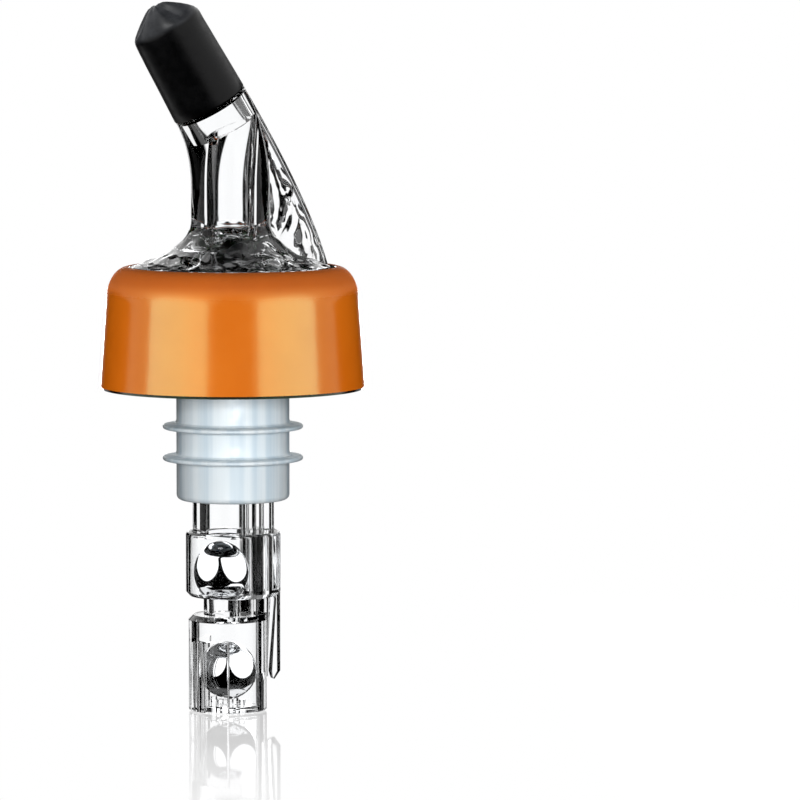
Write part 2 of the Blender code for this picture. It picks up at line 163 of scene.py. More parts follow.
# ---------------------------------------------------------------- sizes of the visual detail
SKIRT_PLUG_R = 5.0           # the skirt's top, hidden in the throat
THROAT_OVERLAP = 3.0         # how far the skirt and the throat run into each other
FLANGE_EDGE = 0.4
TIP_EDGE, TIP_TAPER = 0.5, 0.1
HOLLOW_CRINKLED = (7.8, 14.4)    # radii between which the hollow's roof is crinkled
WEB_ROOT = 2.0               # where the web starts, from the axis of the throat and nozzle
WEB_HALF, WEB_WAVE, WEB_LEAST = 1.9, 2.2, 0.3    # half its thickness, its waves, its thinnest
MOUTH_EDGE = 0.25            # rounding between the collar's shoulder and its mouth
COLLAR_LIP = ((0, 0.45), (0.05, 0.38), (0.35, 0))    # in from the side, up from the bottom
COLLAR_RIM = 0.3             # rounding of its lower edge inside
COLLAR_CORNER = 1.0          # rounding under its ceiling
CAP_CONE = ((0, 3.75), (0.7, 3.72), (1.5, 3.5), (2.2, 3.1), (3.0, 2.55), (4.0, 1.85),
            (4.9, 1.15), (5.5, 0.6), (5.83, 0.1))    # radius, height over the side
CAP_FOLDS = 3
FIN_ROOT_ABOVE = ((0, 0.75), (0.1, 0.4), (0.4, 0.12))    # out from the body, past the fin's face
FIN_ROOT_BELOW = ((0.4, 0.05), (0.1, 0.25), (0, 0.6))
FIN_EDGE = 0.36
CORK_FOOT_EDGE = 0.9
CHAMBER_RIM = 0.6
CHAMBER_FOOT = ((0, 0.85), (0.06, 0.7), (0.6, 0.06), (0.75, 0))    # in from the side, up
CAGE_EDGE = 0.3
CAGE_FLUTES = (-38, -51, -64, -77)    # degrees round the cage from the camera's direction
FLUTE_R, FLUTE_OUT = 0.5, 0.1         # their axes lie this far outside the cage's side
FLUTE_TOP_Z = -50.6

# ---------------------------------------------------------------- mesh and camera settings
PAST = 1.0                   # how far a cutter reaches past the face that it opens
FINEST = 128                 # sides of the skirt and the collar
FINE = 96                    # sides of the other large round pieces
MEDIUM = 64                  # sides of the tubes and bores
SEAM_TURN = 0.37             # of one side: keeps the facets of nested pieces from lining up
SHARP_ANGLE = 30             # degrees; sharper edges stay hard

CAMERA_AZIMUTH = math.radians(-17)
TOWARDS_CAMERA = Vector((math.sin(CAMERA_AZIMUTH), -math.cos(CAMERA_AZIMUTH), 0))
CAMERA_RIGHT = Vector((math.cos(CAMERA_AZIMUTH), math.sin(CAMERA_AZIMUTH), 0))


# ---------------------------------------------------------------- mesh helpers
def arc(centre, radius, start, end, steps=8, stretch=1.0):
    """Points (r, z) on an arc between two angles in degrees; stretch scales it along z."""
    points = []
    for step in range(steps + 1):
        angle = math.radians(start + (end - start) * step / steps)
        points.append((centre[0] + radius * math.cos(angle),
                       centre[1] + radius * stretch * math.sin(angle)))
    return points


def turned(profile, sides=FINE, centre_x=0.0):
    """A closed solid turned about an upright axis from (radius, z) points."""
    shape = bmesh.new()
    loop = [shape.verts.new((radius, 0, z)) for radius, z in profile]
    edges = [shape.edges.new(pair) for pair in zip(loop, loop[1:])]
    if profile[0][0] > 0:
        edges.append(shape.edges.new((loop[-1], loop[0])))
    bmesh.ops.spin(shape, geom=loop + edges, cent=(0, 0, 0), axis=(0, 0, 1),
                   angle=math.tau, steps=sides, use_merge=True)
    bmesh.ops.remove_doubles(shape, verts=shape.verts, dist=0.0001)
    bmesh.ops.rotate(shape, verts=shape.verts, cent=(0, 0, 0),
                     matrix=Matrix.Rotation(SEAM_TURN * math.tau / sides, 3, "Z"))
    bmesh.ops.translate(shape, verts=shape.verts, vec=(centre_x, 0, 0))
    return shape


def swept(points, radii, sides=MEDIUM):
    """A round solid along points in the XZ plane, with a radius at each point."""
    shape = bmesh.new()
    points = [Vector(point) for point in points]
    side = Vector((0, 1, 0))
    rings = []
    for index, (point, radius) in enumerate(zip(points, radii)):
        before = points[max(index - 1, 0)]
        after = points[min(index + 1, len(points) - 1)]
        up = (after - before).normalized().cross(side)
        ring = []
        for step in range(sides):
            angle = math.tau * (step + 0.5) / sides
            ring.append(shape.verts.new(point + radius * (math.cos(angle) * up
                                                          + math.sin(angle) * side)))
        rings.append(ring)
    for lower, upper in zip(rings, rings[1:]):
        for step in range(sides):
            following = (step + 1) % sides
            shape.faces.new((lower[step], lower[following], upper[following], upper[step]))
    shape.faces.new(rings[0])
    shape.faces.new(rings[-1])
    return shape


def rod(x, radius, low_z, high_z, sides=MEDIUM):
    """An upright cylinder at X between two heights."""
    return swept([(x, 0, low_z), (x, 0, high_z)], (radius, radius), sides)


def block(low, high):
    """A box between two corners."""
    shape = bmesh.new()
    bmesh.ops.create_cube(shape, size=1.0)
    low, high = Vector(low), Vector(high)
    bmesh.ops.scale(shape, vec=high - low, verts=shape.verts)
    bmesh.ops.translate(shape, vec=(low + high) / 2, verts=shape.verts)
    return shape


def new_piece(name, shape, sharp_angle=SHARP_ANGLE):
    """Turns a bmesh in millimetres into a smooth-shaded object in metres."""
    bmesh.ops.scale(shape, vec=(MM, MM, MM), verts=shape.verts)
    bmesh.ops.recalc_face_normals(shape, faces=shape.faces)
    mesh = bpy.data.meshes.new(name)
    shape.to_mesh(mesh)
    shape.free()
    mesh.shade_smooth()
    mesh.set_sharp_from_angle(angle=math.radians(sharp_angle))
    piece = bpy.data.objects.new(name, mesh)
    bpy.context.scene.collection.objects.link(piece)
    return piece


def combine(piece, steps):
    """Applies a list of (operation, bmesh) Booleans to a piece and shades it again."""
    tools = []
    for operation, shape in steps:
        tool = new_piece("tool", shape)
        tools.append(tool)
        cut = piece.modifiers.new("cut", "BOOLEAN")
        cut.operation = operation
        cut.solver = "EXACT"
        cut.object = tool
    bpy.context.view_layer.update()
    evaluated = piece.evaluated_get(bpy.context.evaluated_depsgraph_get())
    mesh = bpy.data.meshes.new_from_object(evaluated)
    piece.modifiers.clear()
    piece.data = mesh
    for tool in tools:
        bpy.data.objects.remove(tool)
    mesh.shade_smooth()
    mesh.set_sharp_from_angle(angle=math.radians(SHARP_ANGLE))
    return piece


def finish_piece(piece, node, body, material):
    """Gives a piece its material and puts it in its CAD node's place."""
    piece.data.materials.clear()
    piece.data.materials.append(material)
    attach(piece, body)
    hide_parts(node)
    return piece


def along_nozzle(distance):
    """The point on the nozzle's axis at a distance from the bend."""
    return BEND + distance * NOZZLE


def curve_points(start, control, end, steps=16):
    """Points along a quadratic curve."""
    start, control, end = Vector(start), Vector(control), Vector(end)
    return [start.lerp(control, step / steps).lerp(control.lerp(end, step / steps), step / steps)
            for step in range(steps + 1)]


# ---------------------------------------------------------------- materials
def principled(name, colour, roughness, **sockets):
    """A Principled material; sockets are given by name with underscores for spaces."""
    made = bpy.data.materials.new(name)
    made.use_nodes = True
    shader = made.node_tree.nodes["Principled BSDF"]
    shader.inputs["Base Color"].default_value = (*colour, 1.0)
    shader.inputs["Roughness"].default_value = roughness
    for socket, value in sockets.items():
        shader.inputs[socket.replace("_", " ")].default_value = value
    return made, shader


def noise_texture(tree, scale, detail, stretch=(1, 1, 1)):
    """Noise in object space, in features per metre; a stretch below 1 draws it out."""
    place = tree.nodes.new("ShaderNodeTexCoord")
    mapping = tree.nodes.new("ShaderNodeMapping")
    mapping.inputs["Scale"].default_value = stretch
    texture = tree.nodes.new("ShaderNodeTexNoise")
    texture.inputs["Scale"].default_value = scale
    texture.inputs["Detail"].default_value = detail
    tree.links.new(place.outputs["Object"], mapping.inputs["Vector"])
    tree.links.new(mapping.outputs["Vector"], texture.inputs["Vector"])
    return texture.outputs["Fac"]


def ramp(tree, source, low, high, from_low=0.3, from_high=0.7):
    """Maps a value range smoothly onto another."""
    node = tree.nodes.new("ShaderNodeMapRange")
    node.interpolation_type = "SMOOTHSTEP"
    node.inputs["From Min"].default_value = from_low
    node.inputs["From Max"].default_value = from_high
    node.inputs["To Min"].default_value = low
    node.inputs["To Max"].default_value = high
    tree.links.new(source, node.inputs["Value"])
    return node.outputs["Result"]


def colour_mix(tree, factor, first, second):
    """Mixes two colours by a value."""
    node = tree.nodes.new("ShaderNodeMix")
    node.data_type = "RGBA"
    node.inputs["A"].default_value = (*first, 1.0)
    node.inputs["B"].default_value = (*second, 1.0)
    tree.links.new(factor, node.inputs["Factor"])
    return node.outputs["Result"]


def blend(tree, factor, first, second):
    """Mixes two colour outputs by a value."""
    node = tree.nodes.new("ShaderNodeMix")
    node.data_type = "RGBA"
    tree.links.new(factor, node.inputs["Factor"])
    tree.links.new(first, node.inputs["A"])
    tree.links.new(second, node.inputs["B"])
    return node.outputs["Result"]


def bump(tree, shader, height, strength, distance):
    """Bumps a shader's normal; distance is in metres."""
    node = tree.nodes.new("ShaderNodeBump")
    node.inputs["Strength"].default_value = strength
    node.inputs["Distance"].default_value = distance
    tree.links.new(height, node.inputs["Height"])
    tree.links.new(node.outputs["Normal"], shader.inputs["Normal"])


def clear_plastic():
    """Polished clear styrene: faint moulding flow in its surface and in its gloss."""
    made, shader = principled("clear_plastic", (0.99, 0.995, 1.0), 0.02, IOR=1.5,
                              Specular_Tint=(0.15, 0.15, 0.15, 1.0), Transmission_Weight=1.0)
    tree = made.node_tree
    gloss = noise_texture(tree, 900, 4)
    tree.links.new(ramp(tree, gloss, 0.0, 0.012), shader.inputs["Roughness"])
    bump(tree, shader, noise_texture(tree, 260, 2, (1, 1, 0.35)), 0.12, 0.00004)
    return made


def vector_dot(tree, vector, other):
    """Dot product of a vector output with another output or a fixed direction."""
    node = tree.nodes.new("ShaderNodeVectorMath")
    node.operation = "DOT_PRODUCT"
    tree.links.new(vector, node.inputs[0])
    if isinstance(other, Vector):
        node.inputs[1].default_value = other
    else:
        tree.links.new(other, node.inputs[1])
    return node.outputs["Value"]


def calculate(tree, operation, first, second=0.0, third=0.0):
    """One step of arithmetic on outputs or plain numbers."""
    node = tree.nodes.new("ShaderNodeMath")
    node.operation = operation
    for socket, value in zip(node.inputs, (first, second, third)):
        if isinstance(value, (int, float)):
            socket.default_value = value
        else:
            tree.links.new(value, socket)
    return node.outputs["Value"]


def orange_plastic():
    """Glossy orange moulding, rougher on its shoulder, with painted shade darkening the shoulder's
    colour and painted near-black shade inside it and under its rim.
    """
    made, shader = principled("orange_plastic", (0.80, 0.18, 0.009), 0.2, IOR=1.5,
                              Specular_IOR_Level=0.4, Specular_Tint=(0.45, 1.0, 0.45, 1.0))
    tree = made.node_tree
    place = tree.nodes.new("ShaderNodeTexCoord")
    flatten = tree.nodes.new("ShaderNodeVectorMath")
    flatten.operation = "MULTIPLY"
    flatten.inputs[1].default_value = (1, 1, 0)
    tree.links.new(place.outputs["Object"], flatten.inputs[0])
    outward = tree.nodes.new("ShaderNodeVectorMath")
    outward.operation = "NORMALIZE"
    tree.links.new(flatten.outputs["Vector"], outward.inputs[0])
    facing_out = vector_dot(tree, place.outputs["Normal"], outward.outputs["Vector"])
    facing_up = vector_dot(tree, place.outputs["Normal"], Vector((0, 0, 1)))
    # lit_side and outside pick out the faces on the outside; the faces inside and under the rim get
    # painted shade
    lit_side = calculate(tree, "MULTIPLY_ADD", facing_up, 1.4, facing_out)
    outside = ramp(tree, lit_side, 0, 1, -0.02, 0.06)
    # shoulder picks out the faces that look up; it roughens them and darkens their colour as
    # painted shade
    shoulder = ramp(tree, facing_up, 0, 1, 0.05, 0.5)

    cloud = noise_texture(tree, 90, 3)
    bright = colour_mix(tree, ramp(tree, cloud, 0, 1), (0.78, 0.165, 0.005), (0.82, 0.182, 0.007))
    # painted shade: a darker orange on the shoulder, as though less light falls on it from above
    painted_shade_shoulder = colour_mix(tree, ramp(tree, cloud, 0, 1), (0.60, 0.098, 0.0020), (0.68, 0.116, 0.0030))
    skin = blend(tree, shoulder, bright, painted_shade_shoulder)
    # painted shade: near-black colour inside the collar and under its rim, where shade falls
    dark = colour_mix(tree, ramp(tree, cloud, 0, 1), (0.008, 0.004, 0.003), (0.013, 0.006, 0.004))
    tree.links.new(blend(tree, outside, dark, skin), shader.inputs["Base Color"])
    rough = calculate(tree, "MULTIPLY_ADD", shoulder, 0.7,
                      ramp(tree, noise_texture(tree, 1500, 5), 0.14, 0.19))
    tree.links.new(calculate(tree, "MULTIPLY", outside, rough), shader.inputs["Roughness"])
    bump(tree, shader, noise_texture(tree, 2500, 4), 0.12, 0.00002)
    return made


def black_rubber():
    """Soft black vinyl, satin and dark on the side; its pinched tip is coloured grey as painted
    light, and dusty tones vary over both.
    """
    made, shader = principled("black_rubber", (0.004, 0.004, 0.0045), 0.4, IOR=1.4,
                              Specular_IOR_Level=0.22)
    tree = made.node_tree
    place = tree.nodes.new("ShaderNodeTexCoord")
    # painted light: faces along the nozzle, on the pinched tip, get a lighter grey where light
    # falls from above
    axial = vector_dot(tree, place.outputs["Normal"], NOZZLE)
    tip = ramp(tree, axial, 0, 1, 0.2, 0.62)
    dust = ramp(tree, noise_texture(tree, 350, 5), 0, 1, 0.35, 0.7)
    side = colour_mix(tree, dust, (0.002, 0.002, 0.0024), (0.0045, 0.0045, 0.005))
    grey = colour_mix(tree, dust, (0.03, 0.032, 0.036), (0.06, 0.063, 0.07))
    tree.links.new(blend(tree, tip, side, grey), shader.inputs["Base Color"])
    tree.links.new(ramp(tree, noise_texture(tree, 800, 4), 0.3, 0.4), shader.inputs["Roughness"])
    bump(tree, shader, noise_texture(tree, 3500, 3), 0.2, 0.00002)
    return made


def milky_plastic():
    """Flexible milky polythene, faintly blue, with upright draw marks and painted shade on its head
    hidden in the collar.
    """
    made, shader = principled("milky_plastic", (0.6, 0.68, 0.74), 0.5, IOR=1.5,
                              Specular_IOR_Level=0.9, Subsurface_Weight=0.15,
                              Subsurface_Scale=0.0015)
    shader.inputs["Subsurface Radius"].default_value = (1.0, 1.1, 1.2)
    tree = made.node_tree
    cloud = noise_texture(tree, 520, 3, (1, 1, 0.02))
    pale = colour_mix(tree, ramp(tree, cloud, 0, 1), (0.48, 0.58, 0.65), (0.70, 0.76, 0.79))
    # painted shade: the head, hidden inside the collar, is coloured near black
    shade = colour_mix(tree, ramp(tree, cloud, 0, 1), (0.012, 0.013, 0.014), (0.02, 0.021, 0.023))
    place = tree.nodes.new("ShaderNodeTexCoord")
    height = tree.nodes.new("ShaderNodeSeparateXYZ")
    tree.links.new(place.outputs["Object"], height.inputs["Vector"])
    hidden = ramp(tree, height.outputs["Z"], 0, 1, -2.0 * MM, -1.0 * MM)    # inside the collar
    tree.links.new(blend(tree, hidden, pale, shade), shader.inputs["Base Color"])
    tree.links.new(ramp(tree, noise_texture(tree, 700, 4), 0.42, 0.55), shader.inputs["Roughness"])
    bump(tree, shader, noise_texture(tree, 1500, 3, (1, 1, 0.3)), 0.12, 0.00003)
    return made


def steel():
    """Polished ball steel with fine scuffs in its gloss."""
    made, shader = principled("steel", (0.86, 0.87, 0.88), 0.03, Metallic=1.0)
    tree = made.node_tree
    tree.links.new(ramp(tree, noise_texture(tree, 1200, 6), 0.01, 0.06), shader.inputs["Roughness"])
    return made


# ---------------------------------------------------------------- pieces
def skirt_flare(steps=36):
    """The concave flare from the throat out to the collar's mouth, as (r, z) points."""
    points = []
    for step in range(1, steps + 1):
        t = step / steps
        points.append((THROAT_R + (SKIRT_FOOT_R - THROAT_R) * t ** SKIRT_FLARE_OUT,
                       SKIRT_TOP_Z + (COLLAR_TOP_Z - SKIRT_TOP_Z) * t ** SKIRT_FLARE_DOWN))
    return points


def ripple(shape, scale, amount, radii, heights, ribs=0):
    """Crinkles part of a turned shape up and down; ribs adds that many even waves round it."""
    for vert in shape.verts:
        radius = math.hypot(vert.co.x - THROAT_X, vert.co.y)
        if radii[0] < radius < radii[1] and heights[0] < vert.co.z < heights[1]:
            lift = noise.noise(vert.co * scale)
            if ribs:
                lift += math.cos(ribs * math.atan2(vert.co.y, vert.co.x))
            vert.co.z += amount * lift


def skirt_hollow(steps=8):
    """The ring-shaped hollow under the skirt, with a crinkled and ribbed roof."""
    roof = []
    for (first_r, first_z), (next_r, next_z) in zip(HOLLOW_ROOF, HOLLOW_ROOF[1:]):
        for step in range(steps):
            t = step / steps
            roof.append((first_r + (next_r - first_r) * t, first_z + (next_z - first_z) * t))
    roof.append(HOLLOW_ROOF[-1])
    low = SPOUT_BASE_Z - PAST
    shape = turned([(roof[0][0], low)] + roof + [(roof[-1][0], low)], FINE, THROAT_X)
    ripple(shape, scale=0.16, amount=1.0, radii=HOLLOW_CRINKLED,
           heights=(SPOUT_BASE_Z, SKIRT_TOP_Z), ribs=5)
    return shape


def rippled_web(pipe, columns=26):
    """The thick gusset between throat and air pipe, its two faces gently waved."""
    shape = bmesh.new()
    sides = []
    for side in (-1, 1):
        rows = []
        for point in pipe:
            rise = max(0.0, (point.z - BEND_Z) / math.cos(NOZZLE_TILT))
            inner_x = THROAT_X + WEB_ROOT - rise * math.sin(NOZZLE_TILT)
            row = []
            for column in range(columns + 1):
                x = inner_x + (point.x - inner_x) * column / columns
                wave = (noise.noise(Vector((x * 0.38, side * 3.0, point.z * 0.16)))
                        + 0.15 * noise.noise(Vector((x * 0.9, side * 7.0, point.z * 0.4))))
                half = max(WEB_LEAST, WEB_HALF + WEB_WAVE * wave)
                row.append(shape.verts.new((x, side * half, point.z)))
            rows.append(row)
        sides.append(rows)
    for rows in sides:
        for lower, upper in zip(rows, rows[1:]):
            for column in range(columns):
                shape.faces.new((lower[column], lower[column + 1],
                                 upper[column + 1], upper[column]))
    front, back = sides
    for lower, upper, lower_back, upper_back in zip(front, front[1:], back, back[1:]):
        for column in (0, columns):
            shape.faces.new((lower[column], upper[column],
                             upper_back[column], lower_back[column]))
    for row, row_back in ((front[0], back[0]), (front[-1], back[-1])):
        for column in range(columns):
            shape.faces.new((row[column], row[column + 1],
                             row_back[column + 1], row_back[column]))
    return shape


def make_spout(material):
    """Clear base, skirt, throat, leaning nozzle, breather pipe and web."""
    crest_z, edge = SKIRT_TOP_Z + THROAT_OVERLAP, FLANGE_EDGE
    profile = ([(0, crest_z), (SKIRT_PLUG_R, crest_z)] + skirt_flare()
               + [(SKIRT_FOOT_R, FLANGE_TOP_Z)]
               + arc((FLANGE_R - edge, FLANGE_TOP_Z - edge), edge, 90, 0, 3)
               + arc((FLANGE_R - edge, SPOUT_BASE_Z + edge), edge, 0, -90, 3)
               + [(0, SPOUT_BASE_Z)])
    body = turned(profile, FINEST, THROAT_X)
    ripple(body, scale=0.34, amount=0.5, radii=(THROAT_R + 0.3, SKIRT_FOOT_R - 0.3),
           heights=(COLLAR_TOP_Z + 0.1, SKIRT_TOP_Z))
    spout = new_piece("spout_moulding", body)

    sleeve_end = along_nozzle(CAP_MOUTH - GAP)
    neck = [Vector((THROAT_X, 0, SKIRT_TOP_Z - THROAT_OVERLAP))]
    neck += curve_points((THROAT_X, 0, BEND_Z - SLEEVE_REACH), BEND, sleeve_end)
    sleeve_radii = [THROAT_R + (SLEEVE_R - THROAT_R) * index / (len(neck) - 1)
                    for index in range(len(neck))]
    nozzle = [along_nozzle(distance)
              for distance in (0, NOZZLE_LENGTH - TIP_EDGE, NOZZLE_LENGTH)]
    nozzle_radii = (NOZZLE_R, NOZZLE_R - TIP_TAPER, NOZZLE_R - TIP_EDGE)
    pipe_foot = Vector(AIR_PIPE_FOOT)
    pipe = curve_points(pipe_foot, AIR_PIPE_KNEE, sleeve_end + ACROSS * AIR_PIPE_OFFSET, 40)

    below = SPOUT_BASE_Z - PAST
    seat_top_z = SPOUT_BASE_Z + SEAT_R - LOWER_BORE_R
    land_top_z = seat_top_z + SEAT_LAND
    lower_bore = [(FLOW_X, 0, below), (FLOW_X, 0, seat_top_z), (FLOW_X, 0, land_top_z),
                  (THROAT_X, 0, land_top_z + SEAT_SHIFT), (THROAT_X, 0, BORE_STEP_Z)]
    pocket_start, pocket_end = NOZZLE_POCKET
    nozzle_bore = [along_nozzle(distance) for distance in
                   (pocket_start, pocket_end, pocket_end + NOZZLE_POCKET_R - NOZZLE_BORE_R,
                    NOZZLE_LENGTH + PAST)]
    bore_radii = (NOZZLE_POCKET_R, NOZZLE_POCKET_R, NOZZLE_BORE_R, NOZZLE_BORE_R)
    back = ACROSS * (NOZZLE_R - AIR_PIPE_R)
    air = ([Vector((pipe_foot.x, 0, SPOUT_BASE_Z + 1))] + pipe[1:-1:2]
           + [along_nozzle(CAP_MOUTH + 1) + back, along_nozzle(NOZZLE_LENGTH + PAST) + back])
    combine(spout, [
        ("UNION", swept(neck, sleeve_radii, FINE)),
        ("UNION", swept(nozzle, nozzle_radii, 88)),
        ("UNION", swept(pipe, [AIR_PIPE_R] * len(pipe), 32)),
        ("UNION", rippled_web(pipe[2:-2])),
        ("DIFFERENCE", swept(lower_bore, [SEAT_R + PAST] + [LOWER_BORE_R] * 4)),
        ("DIFFERENCE", rod(THROAT_X, BORE_R, BORE_STEP_Z - PAST, BEND_Z + NOZZLE_POCKET_R)),
        ("DIFFERENCE", swept(nozzle_bore, bore_radii)),
        ("DIFFERENCE", skirt_hollow()),
        ("DIFFERENCE", swept(air, [AIR_BORE_R] * len(air), 24)),
        ("DIFFERENCE", block((BREATHER_X - GALLERY_HALF, -GALLERY_HALF, below),
                             (GALLERY_END_X, GALLERY_HALF, SPOUT_BASE_Z + GALLERY_HEIGHT))),
    ])
    return finish_piece(spout, "spout", "pourer", material)


def make_collar(material):
    """Thin orange bell with a rounded shoulder and a fine lower lip."""
    drop = COLLAR_TOP_Z - COLLAR_SHOULDER_Z
    inset = COLLAR_SHOULDER_R - COLLAR_MOUTH_R - MOUTH_EDGE
    mouth_r = COLLAR_MOUTH_R + MOUTH_EDGE
    outside = (arc((mouth_r, COLLAR_TOP_Z - MOUTH_EDGE), MOUTH_EDGE, 180, 90, 4)
               + arc((mouth_r, COLLAR_SHOULDER_Z), inset, 90, 0, 20, drop / inset)[1:]
               + [(COLLAR_R - inward, COLLAR_BOTTOM_Z + up) for inward, up in COLLAR_LIP])
    ceiling_z = FLANGE_TOP_Z + GAP
    inner_r = COLLAR_SHOULDER_R - COLLAR_WALL
    inside = (arc((COLLAR_R - COLLAR_WALL + COLLAR_RIM, COLLAR_BOTTOM_Z + COLLAR_RIM),
                  COLLAR_RIM, 270, 180, 4)
              + [(inner_r, COLLAR_SHOULDER_Z)]
              + arc((inner_r - COLLAR_CORNER, ceiling_z - COLLAR_CORNER),
                    COLLAR_CORNER, 0, 90, 6)
              + [(COLLAR_MOUTH_R, ceiling_z)])
    collar = new_piece("collar_bell", turned(outside + inside, FINEST))
    return finish_piece(collar, "collar", "pourer", material)


def make_dust_cap(material):
    """Soft push-on cap: tapered wall and a pinched, dented cone for a top."""
    mouth_r, top_r, rings = CAP_MOUTH_R, CAP_TOP_R, 12
    depth = NOZZLE_LENGTH - CAP_MOUTH + GAP
    outside = [(radius, CAP_SIDE + rise) for radius, rise in CAP_CONE]
    for ring in range(rings):
        t = ring / (rings - 1)
        outside.append((top_r + (mouth_r - top_r) * t, CAP_SIDE - 0.4 - (CAP_SIDE - 0.7) * t))
    outside += [(mouth_r - 0.08, 0.08), (mouth_r - 0.25, 0)]
    inside = [(mouth_r - 0.75, 0), (mouth_r - 0.85, 0.12), (top_r - 0.5, depth - 0.6),
              (top_r - 1.1, depth), (0, depth)]
    shape = turned(outside + inside, FINE)
    pinch_from, pinch_over = CAP_SIDE - 1.5, 3.0
    for vert in shape.verts:
        radius = math.hypot(vert.co.x, vert.co.y)
        if vert.co.z > pinch_from:
            turn = CAP_FOLDS * math.atan2(vert.co.y, vert.co.x)
            reach = min(1.0, (vert.co.z - pinch_from) / pinch_over)
            pinch = 0.10 * math.cos(turn + 0.6) + 0.10 * abs(math.cos(turn + 2.0)) - 0.06
            mid = radius * (top_r - radius) * 4 / top_r ** 2
            vert.co.z += reach * mid * pinch * 3.5
            vert.co.x *= 1 + reach * pinch * 0.2
            vert.co.y *= 1 + reach * pinch * 0.2
        wobble = 1 + 0.006 * noise.noise(vert.co * 0.25)
        vert.co.x *= wobble
        vert.co.y *= wobble
    cap = new_piece("dust_cap_moulding", shape, 50)
    cap.data.transform(Matrix.Translation(along_nozzle(CAP_MOUTH) * MM)
                       @ Matrix.Rotation(-NOZZLE_TILT, 4, "Y"))
    return finish_piece(cap, "dust_cap", "cap", material)


def make_cork(material):
    """Milky stopper with two rounded fins and a wide hidden head."""
    head_edge = 0.3
    profile = [(0, CORK_HEAD_Z), (CORK_HEAD_R - head_edge, CORK_HEAD_Z)]
    profile += arc((CORK_HEAD_R - head_edge, CORK_HEAD_Z - head_edge), head_edge, 90, 0, 3)[1:]
    profile += [(CORK_HEAD_R, 0.2), (CORK_HEAD_R - 0.2, 0), (CORK_R + 0.5, 0),
                (CORK_R + 0.12, -0.12), (CORK_R, -0.5)]
    for fin_z in CORK_FIN_Z:
        profile += [(CORK_R + out, fin_z + CORK_FIN_HALF + up) for out, up in FIN_ROOT_ABOVE]
        profile += arc((CORK_FIN_R - FIN_EDGE, fin_z - 0.02), FIN_EDGE, 80, -80, 6)
        profile += [(CORK_R + out, fin_z - CORK_FIN_HALF - down)
                    for out, down in FIN_ROOT_BELOW]
    profile += arc((CORK_R - CORK_FOOT_EDGE, CORK_BOTTOM_Z + CORK_FOOT_EDGE),
                   CORK_FOOT_EDGE, 0, -90, 8)
    profile += [(0, CORK_BOTTOM_Z)]
    cork = new_piece("cork_stopper", turned(profile))
    low, high = CORK_BOTTOM_Z - PAST, CORK_HEAD_Z + PAST
    combine(cork, [("DIFFERENCE", rod(FLOW_X, BALL_RUN_OUTER_R + GAP, low, high)),
                   ("DIFFERENCE", rod(BREATHER_X, AIR_TUBE_R + GAP, low, high, 40))])
    return finish_piece(cork, "cork", "pourer", material)


def make_flow_tube(material):
    """Clear tube: wide ball run above, narrower tube with a flat end below."""
    top_z, end_z, edge = tube_high.z, tube_low.z, 0.15
    profile = [(BALL_RUN_OUTER_R, top_z), (BALL_RUN_OUTER_R, TUBE_STEP_Z),
               (TUBE_R, TUBE_STEP_Z - BALL_RUN_OUTER_R + TUBE_R), (TUBE_R, end_z + edge),
               (TUBE_R - edge, end_z), (TUBE_BORE_R, end_z),
               (TUBE_BORE_R, BALL_RUN_SEAT_Z - BALL_RUN_R + TUBE_BORE_R),
               (BALL_RUN_R, BALL_RUN_SEAT_Z), (BALL_RUN_R, top_z)]
    tube = new_piece("flow_tube_clear", turned(profile, FINE, FLOW_X))
    return finish_piece(tube, "flow_tube", "pourer", material)


def make_breather_tube(material):
    """Slim clear air tube."""
    profile = [(AIR_TUBE_R, air_high.z), (AIR_TUBE_R, air_low.z), (AIR_BORE_R, air_low.z),
               (AIR_BORE_R, air_high.z)]
    tube = new_piece("breather_tube_clear", turned(profile, 48, BREATHER_X))
    return finish_piece(tube, "breather_tube", "pourer", material)


def make_ball_chamber(material):
    """Clear cup with a rounded rim, its sockets, and the air inlet beside it."""
    low, high, rim = CHAMBER_BOTTOM_Z, CHAMBER_TOP_Z, CHAMBER_RIM
    profile = ([(0, high), (CHAMBER_R - rim, high)]
               + arc((CHAMBER_R - rim, high - rim), rim, 90, 0, 8)[1:]
               + [(CHAMBER_R - inward, low + up) for inward, up in CHAMBER_FOOT] + [(0, low)])
    chamber = new_piece("ball_chamber_cup", turned(profile))
    inlet = [(INLET_X, 0, low + 1), (INLET_X, 0, INLET_TIP_Z + INLET_BEVEL),
             (INLET_X - 0.5, 0, INLET_TIP_Z)]
    inlet_bore = [(INLET_X - 0.3, 0, low + 1.4), (INLET_X - 0.1, 0, low - 1),
                  (INLET_X - 0.6, 0, INLET_TIP_Z - PAST)]
    combine(chamber, [
        ("UNION", swept(inlet, (INLET_R, INLET_R, INLET_R * 0.6), 40)),
        ("DIFFERENCE", rod(FLOW_X, CHAMBER_SOCKET_R, low + CHAMBER_FLOOR, high + PAST)),
        ("DIFFERENCE", rod(FLOW_X, CHAMBER_PORT_R, low - PAST, low + 2)),
        ("DIFFERENCE", rod(BREATHER_X, AIR_SOCKET_R, low + 1.3, high + PAST, 40)),
        ("DIFFERENCE", swept(inlet_bore, (INLET_BORE_R, INLET_BORE_R, INLET_BORE_R - 0.1), 20)),
    ])
    return finish_piece(chamber, "ball_chamber", "pourer", material)


